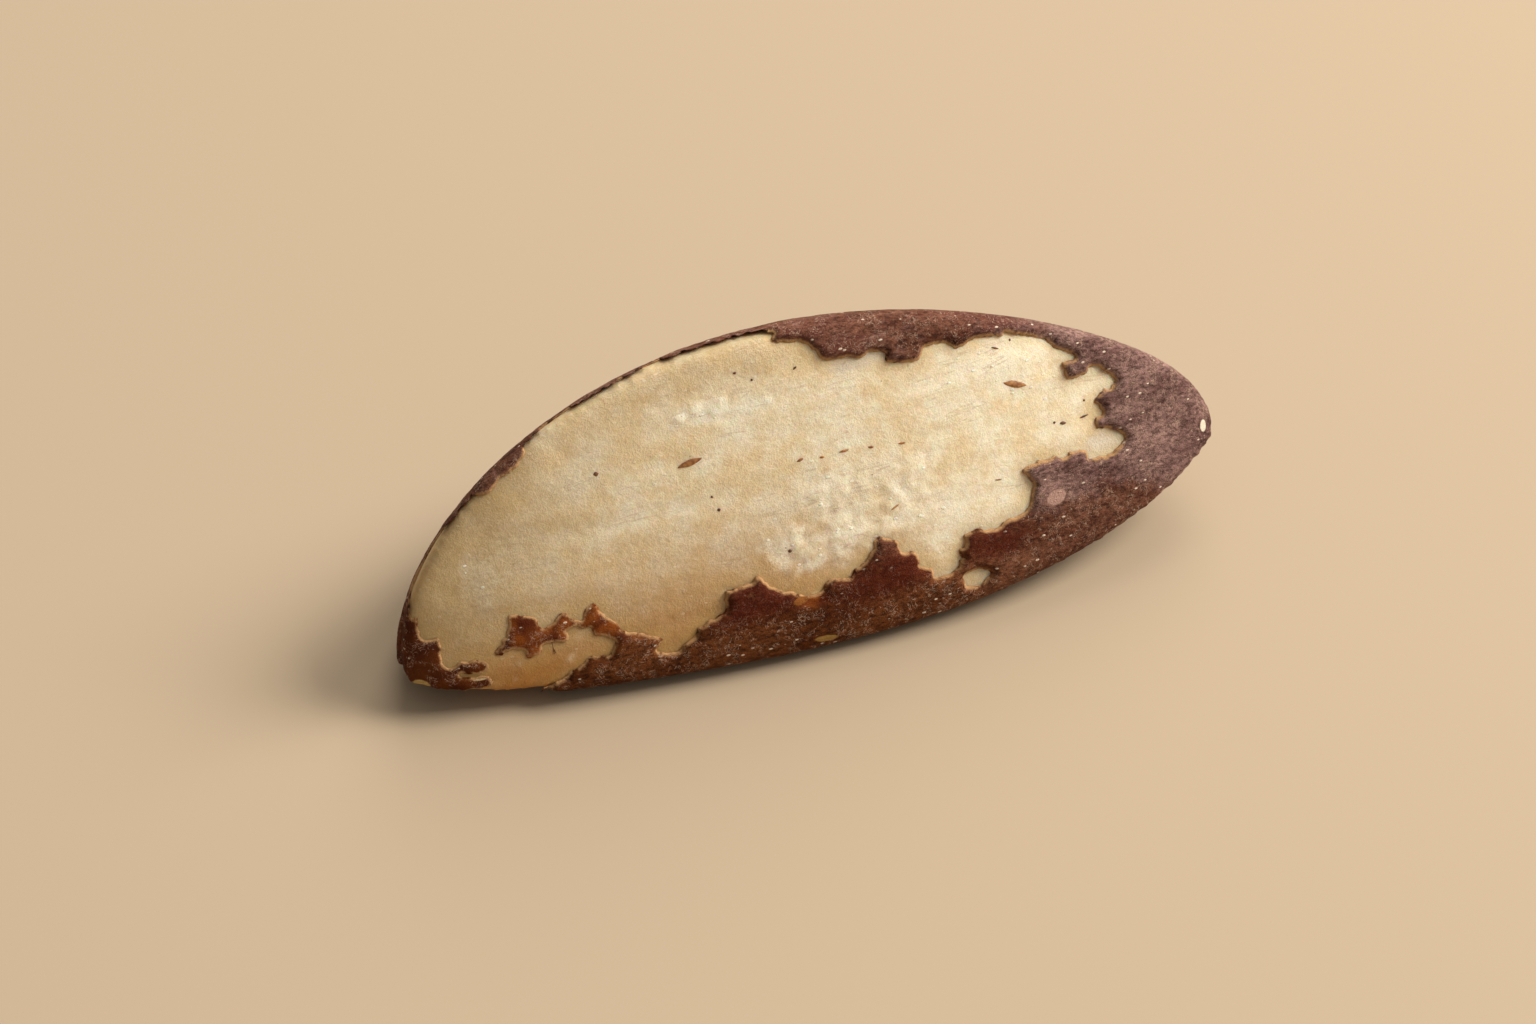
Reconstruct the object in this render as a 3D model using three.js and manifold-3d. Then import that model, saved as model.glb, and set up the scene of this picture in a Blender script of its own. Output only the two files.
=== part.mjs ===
// A Brazil nut out of its shell, lying on its flattest side, with its thin brown skin torn open at the front.
// Millimetres, +Z up. +X runs from the blunt end to the pointed tip and -Y faces the peeled window.
// The origin is under the middle of the nut, on the surface that it rests on.
import * as THREE from "three";
import { mergeVertices } from "three/addons/utils/BufferGeometryUtils.js";
import Module from "manifold-3d";

const wasm = await Module();
wasm.setup();

// Overall size
const LENGTH = 40;
const REST_DEPTH = 0.1; // how far the lowest bulge is pressed flat where the nut rests

// The skin and the narrow gap that parts it from the kernel
const SKIN_THICKNESS = 0.3;
const SKIN_GAP = 0.05;

// Axis from tip to tip: sideways and upward places of its two ends
const BLUNT_END = { y: -3.5, z: 4.2 };
const POINTED_END = { y: -3.9, z: 6.2 };
const AXIS_RISE_POWER = 3; // the axis stays low and rises near the pointed end

// Three long ridges give the nut its rounded triangular section. Each one leaves the axis in its own
// direction, and its reach along the nut is a sum of sine waves with one, two, three and four half periods.
const RIDGES = [
  { direction: 68, reach: [12.3, 1.04, -0.48, -0.02] }, // upper ridge, behind the peeled face
  { direction: 200, reach: [5.71, -0.32, -0.14, 0.15] }, // front ridge, below the peeled face
  { direction: -9, reach: [13, -0.3, 0, 0] }, // lower ridge at the back
];
const ROUNDING_POWER = 5; // larger gives flatter faces and sharper ridges

// Facets
const STATIONS = 36;
const POINTS_PER_FACE = 10;
const RIDGE_CROWDING = 0.8; // draws the points of a section together at its ridges

// The peeled face is seen square on from a tilted direction. The window's outline lies in that plane:
// the first number runs along X, the second one up across the face.
const FACE_TILT = 52.5;
const WINDOW_FLOOR = { middle: 6.15, fall: 0.00025 }; // where the cut starts, falling away to both ends
const WINDOW_TOP = 12;

const WINDOW_OUTLINE = [
  // long upper edge, from the blunt end
  [-19.06, 1.9], [-19.14, 2.08], [-19.1, 2.35], [-19, 2.72], [-18.87, 3], [-18.75, 3.35], [-18.5, 3.6],
  [-18.27, 3.97], [-18.07, 4.3], [-17.78, 4.6], [-17.45, 4.93], [-17.22, 5.25], [-16.9, 5.45], [-16.55, 5.73],
  [-16.11, 5.99], [-15.82, 6.28], [-15.55, 6.47],
  // flake left on the upper edge
  [-15.38, 6.61], [-15.18, 6.72], [-14.95, 6.74], [-14.6, 6.7], [-14.37, 6.78], [-14.2, 6.95], [-13.97, 7.15],
  [-13.83, 7.27], [-13.53, 7.33], [-13.17, 7.48], [-12.88, 7.65], [-12.7, 7.88], [-12.57, 8.1],
  [-12.52, 8.34], [-12.25, 8.52],
  // upper edge along the ridge
  [-11.7, 8.8], [-11, 9.2], [-10, 9.48], [-9, 9.78], [-8, 10.03], [-7, 10.28], [-6, 10.47], [-5, 10.56],
  [-4, 10.64], [-3, 10.68], [-2, 10.7], [-1, 10.66], [-0.38, 10.5],
  // ragged patch that hangs down from the ridge
  [-0.6, 10.2], [-0.55, 10.05], [-0.2, 9.97], [0.33, 9.86], [0.67, 9.74], [0.98, 9.46], [1.25, 9.12],
  [1.45, 8.71], [2.02, 8.56], [2.52, 8.52], [2.87, 8.43], [3.2, 8.28], [3.4, 8.32], [3.62, 8.45], [3.95, 8.43],
  [4.22, 8.34], [4.33, 8.08], [4.33, 7.88], [4.44, 7.73], [4.9, 7.64], [5.35, 7.53], [5.73, 7.45], [5.98, 7.57],
  [6.1, 7.72], [6.17, 7.91], [6.35, 8.01], [6.65, 8.03], [7.05, 7.99], [7.38, 7.86], [7.54, 7.68], [7.86, 7.51],
  [8.32, 7.53], [8.45, 7.67], [8.68, 7.73], [9, 7.76], [9.4, 7.7], [9.9, 7.58], [10.16, 7.52], [10.25, 7.66],
  [10.57, 7.55], [11.08, 7.34], [11.68, 7.11], [12.1, 6.91], [12.35, 6.65], [12.47, 6.4], [12.75, 6.17],
  [13.19, 5.89], [13.46, 5.64],
  // small tongue and the bay behind it
  [13.39, 5.47], [12.9, 5.5], [12.73, 5.45], [12.76, 5.17], [12.74, 4.86], [12.9, 4.66], [13.26, 4.65],
  [13.7, 4.68], [13.9, 4.79], [14.05, 4.94], [14.4, 4.9], [14.66, 4.61], [15.01, 4.33], [15.2, 4],
  // edge toward the pointed tip
  [15.1, 3.84], [14.76, 3.7], [14.55, 3.74], [14.25, 3.57], [13.9, 3.35], [14.04, 3.12], [14.14, 2.88],
  [14.1, 2.6], [13.79, 2.55], [13.66, 2.3], [13.76, 2.05], [14.24, 1.96], [14.57, 1.79], [14.96, 1.48],
  [15.03, 1.26], [14.83, 1.03], [14.5, 0.86], [14.14, 0.75], [13.8, 0.66], [13.62, 0.77], [13.24, 0.75],
  [13.02, 0.88], [13, 1.16], [12.8, 1.29], [12.47, 1.37], [12.17, 1.42], [12, 1.23], [11.65, 1.22],
  [11.35, 1.44], [11.2, 1.34], [10.75, 1.35], [10.5, 1.45], [10.42, 1.35], [9.9, 1.34], [9.64, 1.2],
  // lower edge, back toward the blunt end
  [9.75, 0.93], [9.92, 0.64], [10, 0.38], [9.88, 0.1], [9.68, -0.37], [9.36, -0.68], [8.96, -0.82],
  [8.7, -0.85], [8.45, -0.8], [8.2, -0.87], [8, -1.05], [7.79, -1.07], [7.48, -1.03], [6.94, -0.85],
  [6.68, -0.86], [6.33, -0.9], [6.1, -1], [6.2, -1.27], [6.04, -1.44], [5.81, -1.54], [5.77, -1.76],
  [5.87, -1.95], [5.7, -2.02], [5.68, -2.25], [5.3, -2.47], [4.82, -2.53], [4.48, -2.51], [4.38, -2.39],
  [4.4, -2.12], [4.28, -1.98], [4, -1.89], [3.82, -1.72], [3.84, -1.5], [3.8, -1.25], [3.72, -1.04],
  [3.53, -0.97], [3.2, -0.88], [3.02, -0.66], [3.04, -0.43], [2.95, -0.23], [2.58, -0.1], [2.27, 0.1],
  [2.05, 0.04], [1.86, -0.14], [1.77, -0.4], [1.5, -0.7], [1.27, -0.86], [1, -1.02], [0.77, -1.08],
  [0.64, -1.24], [0.4, -1.35], [0.02, -1.29], [-0.38, -1.18], [-0.65, -1.32], [-0.82, -1.49], [-1.15, -1.71],
  [-1.52, -1.7], [-1.9, -1.54], [-2.12, -1.39], [-2.4, -1.22], [-2.9, -1], [-3.28, -0.63], [-3.51, -0.3],
  [-3.66, -0.12], [-3.82, -0.22], [-3.96, -0.35], [-4.34, -0.39], [-4.8, -0.43], [-5.13, -0.43],
  [-5.27, -0.5], [-5.29, -0.66], [-5.38, -0.82], [-5.38, -1.1], [-5.53, -1.35], [-5.88, -1.48],
  [-6.19, -1.53], [-6.48, -1.69], [-6.72, -1.73], [-6.91, -1.91], [-7.05, -2.17], [-7.4, -2.29],
  [-7.64, -2.42], [-7.93, -2.64], [-8.33, -2.59], [-8.69, -2.47], [-8.85, -2.32], [-8.77, -2.19],
  [-8.58, -2.03], [-8.49, -1.88], [-8.57, -1.75], [-8.93, -1.58], [-9.2, -1.41], [-9.5, -1.25],
  // upper side of the long thin tongue
  [-9.94, -1.13], [-10.16, -0.93], [-10.26, -0.73], [-10.35, -0.47], [-10.6, -0.27], [-10.79, -0.06],
  [-10.95, 0.24], [-11.05, 0.45], [-11.17, 0.59], [-11.4, 0.5], [-11.55, 0.38], [-11.68, 0.24], [-11.82, 0],
  [-12.12, 0.05], [-12.36, 0.23], [-12.45, 0.47], [-12.72, 0.5], [-12.9, 0.34], [-13.1, 0.13], [-13.52, 0.06],
  [-13.72, 0.22], [-13.76, 0.49], [-13.94, 0.67], [-14.42, 0.88], [-14.8, 1], [-14.94, 0.94], [-14.97, 0.75],
  [-15.1, 0.48], [-15.22, 0.22], [-15.24, 0.05], [-15.45, -0.04], [-15.52, -0.22], [-15.76, -0.37],
  // its end and lower side
  [-15.9, -0.5], [-15.82, -0.65], [-15.62, -0.71], [-15.35, -0.6], [-14.9, -0.6], [-14.6, -0.73],
  [-14.57, -1.02], [-14.42, -1.2], [-14.1, -1.17], [-13.92, -1.07], [-13.82, -0.9], [-13.58, -0.69],
  [-13.19, -0.72], [-12.79, -0.79], [-12.58, -0.69], [-12.59, -0.48], [-12.65, -0.37], [-12.42, -0.27],
  [-12.17, -0.32], [-11.82, -0.42], [-11.6, -0.45], [-11.47, -0.57], [-11.4, -0.84], [-11.3, -0.94],
  [-11.03, -0.97], [-10.84, -1.14], [-10.64, -1.28], [-10.61, -1.5], [-10.79, -1.75], [-10.98, -1.94],
  [-11.28, -1.89], [-11.63, -1.8], [-11.9, -1.81], [-12.06, -1.93], [-12.34, -2.05], [-12.5, -2.2],
  [-12.83, -2.3], [-13.1, -2.46], [-13.45, -2.63], [-13.86, -2.78], [-14.25, -2.86],
  // along the front ridge
  [-14.8, -2.76], [-15.5, -2.62], [-16.2, -2.47], [-16.9, -2.33], [-17.5, -2.22],
  // patch round the blunt end
  [-17.53, -2.11], [-16.94, -2.1], [-16.5, -2], [-16.29, -1.87], [-16.27, -1.7], [-16.42, -1.55],
  [-16.75, -1.43], [-16.96, -1.48], [-17.3, -1.34], [-17.62, -1.2], [-17.53, -1.14], [-17.25, -1.24],
  [-16.89, -1.3], [-16.57, -1.3], [-16.35, -1.18], [-16.3, -1], [-16.44, -0.79], [-16.76, -0.65],
  [-17.22, -0.57], [-17.54, -0.58], [-17.76, -0.72], [-17.95, -0.74], [-18.11, -0.61], [-18.23, -0.31],
  [-18.21, 0], [-18.12, 0.26], [-18.13, 0.55], [-18.21, 0.74], [-18.54, 0.73], [-18.8, 0.8], [-18.86, 0.95],
  [-18.9, 1.27], [-18.86, 1.64], [-18.85, 1.87],
];

// Small peeled spots, ovals with a waved edge that lie in the same plane as the window
const SPOTS = [
  { x: 6.35, up: -3.08, length: 1.3, width: 0.82 }, // beside the front ridge
  { x: 19.2, up: 0.62, length: 0.3, width: 0.54 }, // chip at the pointed tip
];
const SPOT_POINTS = 20;
const SPOT_WAVE = 0.08;
const SPOT_FLOOR = 5.2;

// Near the blunt end the window runs on round the front ridge, where a second cut comes from below
const UNDER_PATCH = { x: -16, y: -5.35, z: 0.55, length: 4.2, width: 2, tilt: 128, turn: -14, depth: 1.6 };

const radians = THREE.MathUtils.degToRad;

// Reach of a ridge from the axis at a station angle between 0 and pi
function reachAt(ridge, angle) {
  return ridge.reach.reduce((sum, size, i) => sum + size * Math.sin((i + 1) * angle), 0);
}

// The three corners of the section at a station, its middle, and the direction and distance of its faces
function sectionAt(angle) {
  const along = 0.5 * (1 - Math.cos(angle));
  const rise = Math.pow(along, AXIS_RISE_POWER);
  const axis = new THREE.Vector2(
    THREE.MathUtils.lerp(BLUNT_END.y, POINTED_END.y, along),
    THREE.MathUtils.lerp(BLUNT_END.z, POINTED_END.z, rise),
  );
  const corners = RIDGES.map((ridge) => {
    const turn = radians(ridge.direction);
    return new THREE.Vector2(Math.cos(turn), Math.sin(turn)).multiplyScalar(reachAt(ridge, angle)).add(axis);
  });
  const middle = corners[0].clone().add(corners[1]).add(corners[2]).divideScalar(3);
  const faces = corners.map((from, i) => {
    const edge = corners[(i + 1) % 3].clone().sub(from);
    const normal = new THREE.Vector2(edge.y, -edge.x).normalize();
    const distance = from.clone().sub(middle).dot(normal);
    return { normal: normal.multiplyScalar(Math.sign(distance)), distance: Math.abs(distance) };
  });
  return { x: along * LENGTH, middle, corners, faces };
}

// A point of the outer surface, at a turn about the middle of its section
function surfacePoint(section, turn) {
  const ray = new THREE.Vector2(Math.cos(turn), Math.sin(turn));
  const sum = section.faces.reduce(
    (total, face) => total + Math.pow(Math.max(0, ray.dot(face.normal)) / face.distance, ROUNDING_POWER),
    0,
  );
  const radius = Math.pow(sum, -1 / ROUNDING_POWER);
  return new THREE.Vector3(section.x, section.middle.x + radius * ray.x, section.middle.y + radius * ray.y);
}

// The turns at which a section is sampled, the same number on each face
function sectionTurns(section) {
  const cornerTurns = section.corners.map((corner) => corner.clone().sub(section.middle).angle());
  const turns = [];
  for (let face = 0; face < 3; face++) {
    const from = cornerTurns[face];
    const sweep = THREE.MathUtils.euclideanModulo(cornerTurns[(face + 1) % 3] - from, 2 * Math.PI);
    for (let i = 0; i < POINTS_PER_FACE; i++) {
      const share = i / POINTS_PER_FACE;
      const crowded = share - (RIDGE_CROWDING * Math.sin(2 * Math.PI * share)) / (2 * Math.PI);
      turns.push(from + sweep * crowded);
    }
  }
  return turns;
}

// Outward direction of the surface, from two short steps along it
function surfaceNormal(angle, turn) {
  const step = 1e-4;
  const alongNut = surfacePoint(sectionAt(angle + step), turn).sub(surfacePoint(sectionAt(angle - step), turn));
  const section = sectionAt(angle);
  const roundNut = surfacePoint(section, turn + step).sub(surfacePoint(section, turn - step));
  return roundNut.cross(alongNut).normalize();
}

// All sampled points of the outer surface with their outward directions: one tip, the rings, the other tip
function sampleSurface() {
  const samples = [];
  const addTip = (x, end, side) => {
    samples.push({ point: new THREE.Vector3(x, end.y, end.z), normal: new THREE.Vector3(side, 0, 0) });
  };
  addTip(0, BLUNT_END, -1);
  for (let i = 1; i < STATIONS; i++) {
    const angle = (Math.PI * i) / STATIONS;
    const section = sectionAt(angle);
    for (const turn of sectionTurns(section)) {
      samples.push({ point: surfacePoint(section, turn), normal: surfaceNormal(angle, turn) });
    }
  }
  addTip(LENGTH, POINTED_END, 1);

  const box = new THREE.Box3().setFromPoints(samples.map((sample) => sample.point));
  const middle = box.getCenter(new THREE.Vector3());
  const shift = new THREE.Vector3(-middle.x, -middle.y, -box.min.z - REST_DEPTH);
  samples.forEach((sample) => sample.point.add(shift));
  return samples;
}

// Triangles between the two tips and the rings
function surfaceTriangles() {
  const ring = 3 * POINTS_PER_FACE;
  const lastTip = ring * (STATIONS - 1) + 1;
  const at = (station, i) => 1 + station * ring + (i % ring);
  const triangles = [];
  for (let i = 0; i < ring; i++) {
    triangles.push(0, at(0, i + 1), at(0, i));
    for (let station = 0; station < STATIONS - 2; station++) {
      triangles.push(at(station, i), at(station, i + 1), at(station + 1, i + 1));
      triangles.push(at(station, i), at(station + 1, i + 1), at(station + 1, i));
    }
    triangles.push(at(STATIONS - 2, i), at(STATIONS - 2, i + 1), lastTip);
  }
  return triangles;
}

// Closed surface that lies a given depth inside the skin's outer surface and is pressed flat underneath
function nutGeometry(samples, depth) {
  const positions = samples.flatMap(({ point, normal }) => {
    const inner = point.clone().addScaledVector(normal, -depth);
    return [inner.x, inner.y, Math.max(inner.z, depth)];
  });
  const geometry = new THREE.BufferGeometry();
  geometry.setAttribute("position", new THREE.Float32BufferAttribute(positions, 3));
  geometry.setIndex(surfaceTriangles());
  return geometry;
}

function toSolid(geometry) {
  const bare = geometry.clone();
  bare.deleteAttribute("normal");
  bare.deleteAttribute("uv");
  const merged = mergeVertices(bare, 1e-5);
  const vertProperties = new Float32Array(merged.attributes.position.array);
  const triVerts = new Uint32Array(merged.index.array);
  return new wasm.Manifold(new wasm.Mesh({ numProp: 3, vertProperties, triVerts }));
}

function toGeometry(solid) {
  const { vertProperties, triVerts } = solid.getMesh();
  const geometry = new THREE.BufferGeometry();
  geometry.setAttribute("position", new THREE.BufferAttribute(vertProperties, 3));
  geometry.setIndex(new THREE.BufferAttribute(triVerts, 1));
  return geometry;
}

// A cut can part a loose crumb from the sheet, which is dropped
function largestPiece(solid) {
  return solid.decompose().reduce((best, piece) => (piece.numTri() > best.numTri() ? piece : best));
}

function shapeOf(points) {
  return new THREE.Shape(points.map(([x, y]) => new THREE.Vector2(x, y)));
}

// Turns a plane's own axes, along the nut and up across a face, into the nut's axes
function facePlane(tilt) {
  return new THREE.Matrix4().makeRotationX(radians(tilt));
}

// The window's cutter. Its floor follows the peeled face, so that it never reaches the skin behind the ridges.
function windowCutter() {
  const geometry = new THREE.ExtrudeGeometry(shapeOf(WINDOW_OUTLINE), { depth: 1, bevelEnabled: false });
  const position = geometry.attributes.position;
  for (let i = 0; i < position.count; i++) {
    const x = position.getX(i);
    const floor = WINDOW_FLOOR.middle - WINDOW_FLOOR.fall * Math.pow(Math.abs(x), 3);
    position.setZ(i, position.getZ(i) > 0.5 ? WINDOW_TOP : floor);
  }
  return toSolid(geometry.applyMatrix4(facePlane(FACE_TILT)));
}

// Oval outline with a waved edge, so that it looks torn
function ovalOutline(length, width) {
  return Array.from({ length: SPOT_POINTS }, (_, i) => {
    const turn = (2 * Math.PI * i) / SPOT_POINTS;
    const wave = 1 + SPOT_WAVE * (Math.sin(3 * turn + 0.6) + Math.cos(5 * turn));
    return [0.5 * length * wave * Math.cos(turn), 0.5 * width * wave * Math.sin(turn)];
  });
}

function ovalPrism(length, width, depth) {
  return new THREE.ExtrudeGeometry(shapeOf(ovalOutline(length, width)), { depth, bevelEnabled: false });
}

function spotCutter({ x, up, length, width }) {
  const geometry = ovalPrism(length, width, WINDOW_TOP - SPOT_FLOOR);
  return toSolid(geometry.translate(x, up, SPOT_FLOOR).applyMatrix4(facePlane(FACE_TILT)));
}

function underPatchCutter({ x, y, z, length, width, tilt, turn, depth }) {
  const geometry = ovalPrism(length, width, 2 * depth).translate(0, 0, -depth);
  return toSolid(geometry.applyMatrix4(facePlane(tilt)).rotateZ(radians(turn)).translate(x, y, z));
}

function namedMesh(name, geometry, material) {
  const mesh = new THREE.Mesh(geometry, material);
  mesh.name = name;
  return mesh;
}

const samples = sampleSurface();

// The cream kernel, one solid under the skin and open to view in the window
function makeKernel() {
  const geometry = nutGeometry(samples, SKIN_THICKNESS + SKIN_GAP);
  const flesh = new THREE.MeshStandardMaterial({ color: 0xe3cda0, roughness: 0.5, metalness: 0 });
  return namedMesh("kernel", geometry, flesh);
}

// The brown skin, one thin torn sheet that wraps the kernel's back, underside and both ends
function makeSkin() {
  const outside = toSolid(nutGeometry(samples, 0));
  const inside = toSolid(nutGeometry(samples, SKIN_THICKNESS));
  let sheet = outside.subtract(inside).subtract(windowCutter()).subtract(underPatchCutter(UNDER_PATCH));
  for (const spot of SPOTS) {
    sheet = sheet.subtract(spotCutter(spot));
  }
  const coat = new THREE.MeshStandardMaterial({ color: 0x5b3629, roughness: 0.75, metalness: 0 });
  return namedMesh("skin", toGeometry(largestPiece(sheet)), coat);
}

const nut = new THREE.Group();
nut.name = "brazil_nut";
nut.add(makeKernel(), makeSkin());

export default nut;
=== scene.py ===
# %% [markdown]
# # A Brazil nut with torn skin
#
# A Brazil nut is a three-sided seed. Its cream flesh is waxy and a little see-through, and a thin brown
# skin has grown on to it. On this one the skin has come away from the broad front face in one large
# window with a ragged edge. The CAD model gives the true shape of the flesh and the skin. This lesson
# makes a smooth, finely torn copy of each of them, and then gives them their finishes.

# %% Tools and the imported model
import math

import bpy
import numpy as np
from mathutils import Matrix, Vector, noise
from mathutils.bvhtree import BVHTree
from mathutils.kdtree import KDTree


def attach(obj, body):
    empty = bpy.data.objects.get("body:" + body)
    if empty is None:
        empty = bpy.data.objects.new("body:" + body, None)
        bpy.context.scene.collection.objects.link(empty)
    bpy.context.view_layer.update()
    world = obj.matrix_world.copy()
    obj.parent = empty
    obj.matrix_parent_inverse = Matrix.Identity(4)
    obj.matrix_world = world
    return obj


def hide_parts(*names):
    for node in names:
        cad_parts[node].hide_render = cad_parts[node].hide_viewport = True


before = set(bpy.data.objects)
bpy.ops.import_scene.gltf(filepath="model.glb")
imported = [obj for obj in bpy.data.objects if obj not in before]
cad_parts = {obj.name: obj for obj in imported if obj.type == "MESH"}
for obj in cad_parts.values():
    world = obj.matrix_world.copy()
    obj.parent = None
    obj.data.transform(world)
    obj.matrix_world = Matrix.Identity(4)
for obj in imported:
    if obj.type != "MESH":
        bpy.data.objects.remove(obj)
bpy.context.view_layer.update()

MM = 0.001  # one millimetre in metres

# %% [markdown]
# ## The camera
#
# The photograph looks down on the nut at about 48 degrees, from a little to the left. A long lens keeps
# the nut's two ends in proportion. The camera's place was found by laying the model's outline over the nut
# in the photograph. It is turned with a track quaternion, which needs no constraint.

# %% Camera
CAMERA_TARGET = Vector((-0.47, 1.44, -0.10)) * MM
CAMERA_AZIMUTH = math.radians(-21.1)
CAMERA_ELEVATION = math.radians(48)
CAMERA_DISTANCE = 152.4 * MM
SENSOR_WIDTH = 36  # mm, as is the lens
LENS = 75

toward_camera = Vector((
    math.sin(CAMERA_AZIMUTH) * math.cos(CAMERA_ELEVATION),
    -math.cos(CAMERA_AZIMUTH) * math.cos(CAMERA_ELEVATION),
    math.sin(CAMERA_ELEVATION),
))
bpy.ops.object.camera_add(location=CAMERA_TARGET + toward_camera * CAMERA_DISTANCE)
camera = bpy.context.object
camera.name = "photo_camera"
camera.rotation_mode = "QUATERNION"
camera.rotation_quaternion = (-toward_camera).to_track_quat("-Z", "Y")
camera.data.sensor_width = SENSOR_WIDTH
camera.data.lens = LENS
camera.data.clip_start = 5 * MM
camera.data.clip_end = 20
bpy.context.scene.camera = camera
print("camera at", [round(c / MM, 1) for c in camera.location], "mm")

# %% [markdown]
# ## Helpers
#
# An operator acts on all that is selected, so the first helper selects one piece alone. The second one
# adds a modifier with its settings and applies it at once, and the third one starts a material.

# %% Helpers for objects and materials
def select_only(piece):
    bpy.ops.object.select_all(action="DESELECT")
    piece.select_set(True)
    bpy.context.view_layer.objects.active = piece


def apply_modifier(piece, name, kind, **settings):
    select_only(piece)
    modifier = piece.modifiers.new(name, kind)
    for key, value in settings.items():
        setattr(modifier, key, value)
    bpy.ops.object.modifier_apply(modifier=name)


def new_material(name):
    material = bpy.data.materials.new(name)
    material.use_nodes = True
    return material, material.node_tree.nodes["Principled BSDF"]


# %% [markdown]
# ## Floor and light
#
# The nut lies on a plain, pale, warm floor, because the warm light that it throws back is what makes the
# nut's lower side so brown. The light is soft, as in a pale room with a bright window high on the right.
# A lamp is soft when it is large for its distance. A weaker lamp behind the nut draws a soft shadow in
# front of the lower band, and a dim sky that is brighter on the right fills the rest. All of it could come
# from the sky alone, but its small bright spot would make a noisy picture.

# %% Floor
FLOOR_SIZE = 4.0  # metres
FLOOR_COLOR = (0.465, 0.358, 0.25, 1)
bpy.ops.mesh.primitive_plane_add(size=FLOOR_SIZE)
floor = bpy.context.object
floor.name = "floor"
floor_material, floor_shader = new_material("pale_floor")
floor_shader.inputs["Base Color"].default_value = FLOOR_COLOR
floor_shader.inputs["Roughness"].default_value = 0.8
floor_shader.inputs["Specular IOR Level"].default_value = 0.2
floor.data.materials.append(floor_material)
print("floor", FLOOR_SIZE, "m wide")

# %% Lamps
LAMP_DISTANCE = 0.7  # metres


def soft_lamp(name, direction, size, power, color):
    place = Vector(direction).normalized() * LAMP_DISTANCE
    bpy.ops.object.light_add(type="AREA", location=place)
    lamp = bpy.context.object
    lamp.name = name
    lamp.rotation_mode = "QUATERNION"
    lamp.rotation_quaternion = (-place).to_track_quat("-Z", "Y")
    lamp.data.size = size
    lamp.data.energy = power
    lamp.data.color = color
    print(name, "gives", power, "W over", size, "m")


soft_lamp("window_light", (0.80, -0.03, 0.60), size=0.34, power=7.1, color=(1.0, 0.96, 0.88))
soft_lamp("back_light", (0.40, 0.66, 0.64), size=0.40, power=2.6, color=(1.0, 0.95, 0.86))

# %% Dim sky, brighter toward the window
TOWARD_WINDOW = (0.78, 0.15, 0.60)
SKY_COLOR = (1.0, 0.95, 0.87, 1)
SKY_RANGE = {"From Min": -0.6, "From Max": 0.9, "To Min": 0.04, "To Max": 0.54}

room = bpy.data.worlds.new("pale_room")
room.use_nodes = True
room_nodes = room.node_tree.nodes
direction = room_nodes.new("ShaderNodeTexCoord").outputs["Generated"]
toward_window = room_nodes.new("ShaderNodeVectorMath")
toward_window.operation = "DOT_PRODUCT"
toward_window.inputs[1].default_value = TOWARD_WINDOW
room.node_tree.links.new(direction, toward_window.inputs[0])
brightness = room_nodes.new("ShaderNodeMapRange")
for name, number in SKY_RANGE.items():
    brightness.inputs[name].default_value = number
room.node_tree.links.new(toward_window.outputs["Value"], brightness.inputs["Value"])
background = room_nodes["Background"]
background.inputs["Color"].default_value = SKY_COLOR
room.node_tree.links.new(brightness.outputs["Result"], background.inputs["Strength"])
bpy.context.scene.world = room
bpy.context.scene.view_settings.view_transform = "Standard"
print("sky from", SKY_RANGE["To Min"], "to", SKY_RANGE["To Max"])

# %% [markdown]
# ## Smooth copies of the flesh
#
# The CAD flesh is made of flat facets. A copy of it is merged, its triangles are paired into quads, and a
# Subdivision Surface rounds it. The same copy, swollen by the skin's thickness, is the outside of the
# skin. A voxel remesh then spreads small, even faces over each one, so that fine relief can be shaped
# anywhere, and Shrinkwrap lays them back on the smooth surface.

# %% Merged copy of a CAD part
def merged_copy(node, name):
    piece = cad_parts[node].copy()
    piece.data = piece.data.copy()
    piece.name = name
    piece.data.name = name
    for key in list(piece.keys()):
        del piece[key]
    piece.parent = None
    piece.data.materials.clear()
    bpy.context.scene.collection.objects.link(piece)
    select_only(piece)
    bpy.ops.object.mode_set(mode="EDIT")
    bpy.ops.mesh.select_all(action="SELECT")
    bpy.ops.mesh.remove_doubles(threshold=0.001 * MM)
    bpy.ops.mesh.customdata_custom_splitnormals_clear()
    bpy.ops.mesh.tris_convert_to_quads(face_threshold=math.pi, shape_threshold=math.pi)
    bpy.ops.object.mode_set(mode="OBJECT")
    return piece


def count(piece):
    triangles = sum(len(face.vertices) - 2 for face in piece.data.polygons)
    print(piece.name, "has", triangles, "triangles")


# %% Swollen copy, and even faces on a smooth form
def swollen_copy(piece, name, distance):
    select_only(piece)
    bpy.ops.object.duplicate()
    copy = bpy.context.object
    copy.name = name
    bpy.ops.object.mode_set(mode="EDIT")
    bpy.ops.mesh.select_all(action="SELECT")
    bpy.ops.transform.shrink_fatten(value=distance)
    bpy.ops.object.mode_set(mode="OBJECT")
    return copy


def even_faces(piece, voxel):
    target = piece.copy()
    target.data = piece.data.copy()
    bpy.context.scene.collection.objects.link(target)
    apply_modifier(piece, "even", "REMESH", mode="VOXEL", voxel_size=voxel)
    apply_modifier(piece, "lay_back", "SHRINKWRAP", target=target, wrap_method="NEAREST_SURFACEPOINT")
    bpy.data.objects.remove(target)


# %% The flesh and both sides of the skin
SKIN_THICKNESS = 0.35 * MM  # from the flesh to the outside of the skin
SKIN_ROOT = 0.07 * MM  # how far the skin's inner side reaches into the flesh, so that no gap shows
ROUND_LEVELS = 3
FLESH_VOXEL = 0.17 * MM
OUTER_VOXEL = 0.155 * MM
INNER_VOXEL = 0.35 * MM

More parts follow.
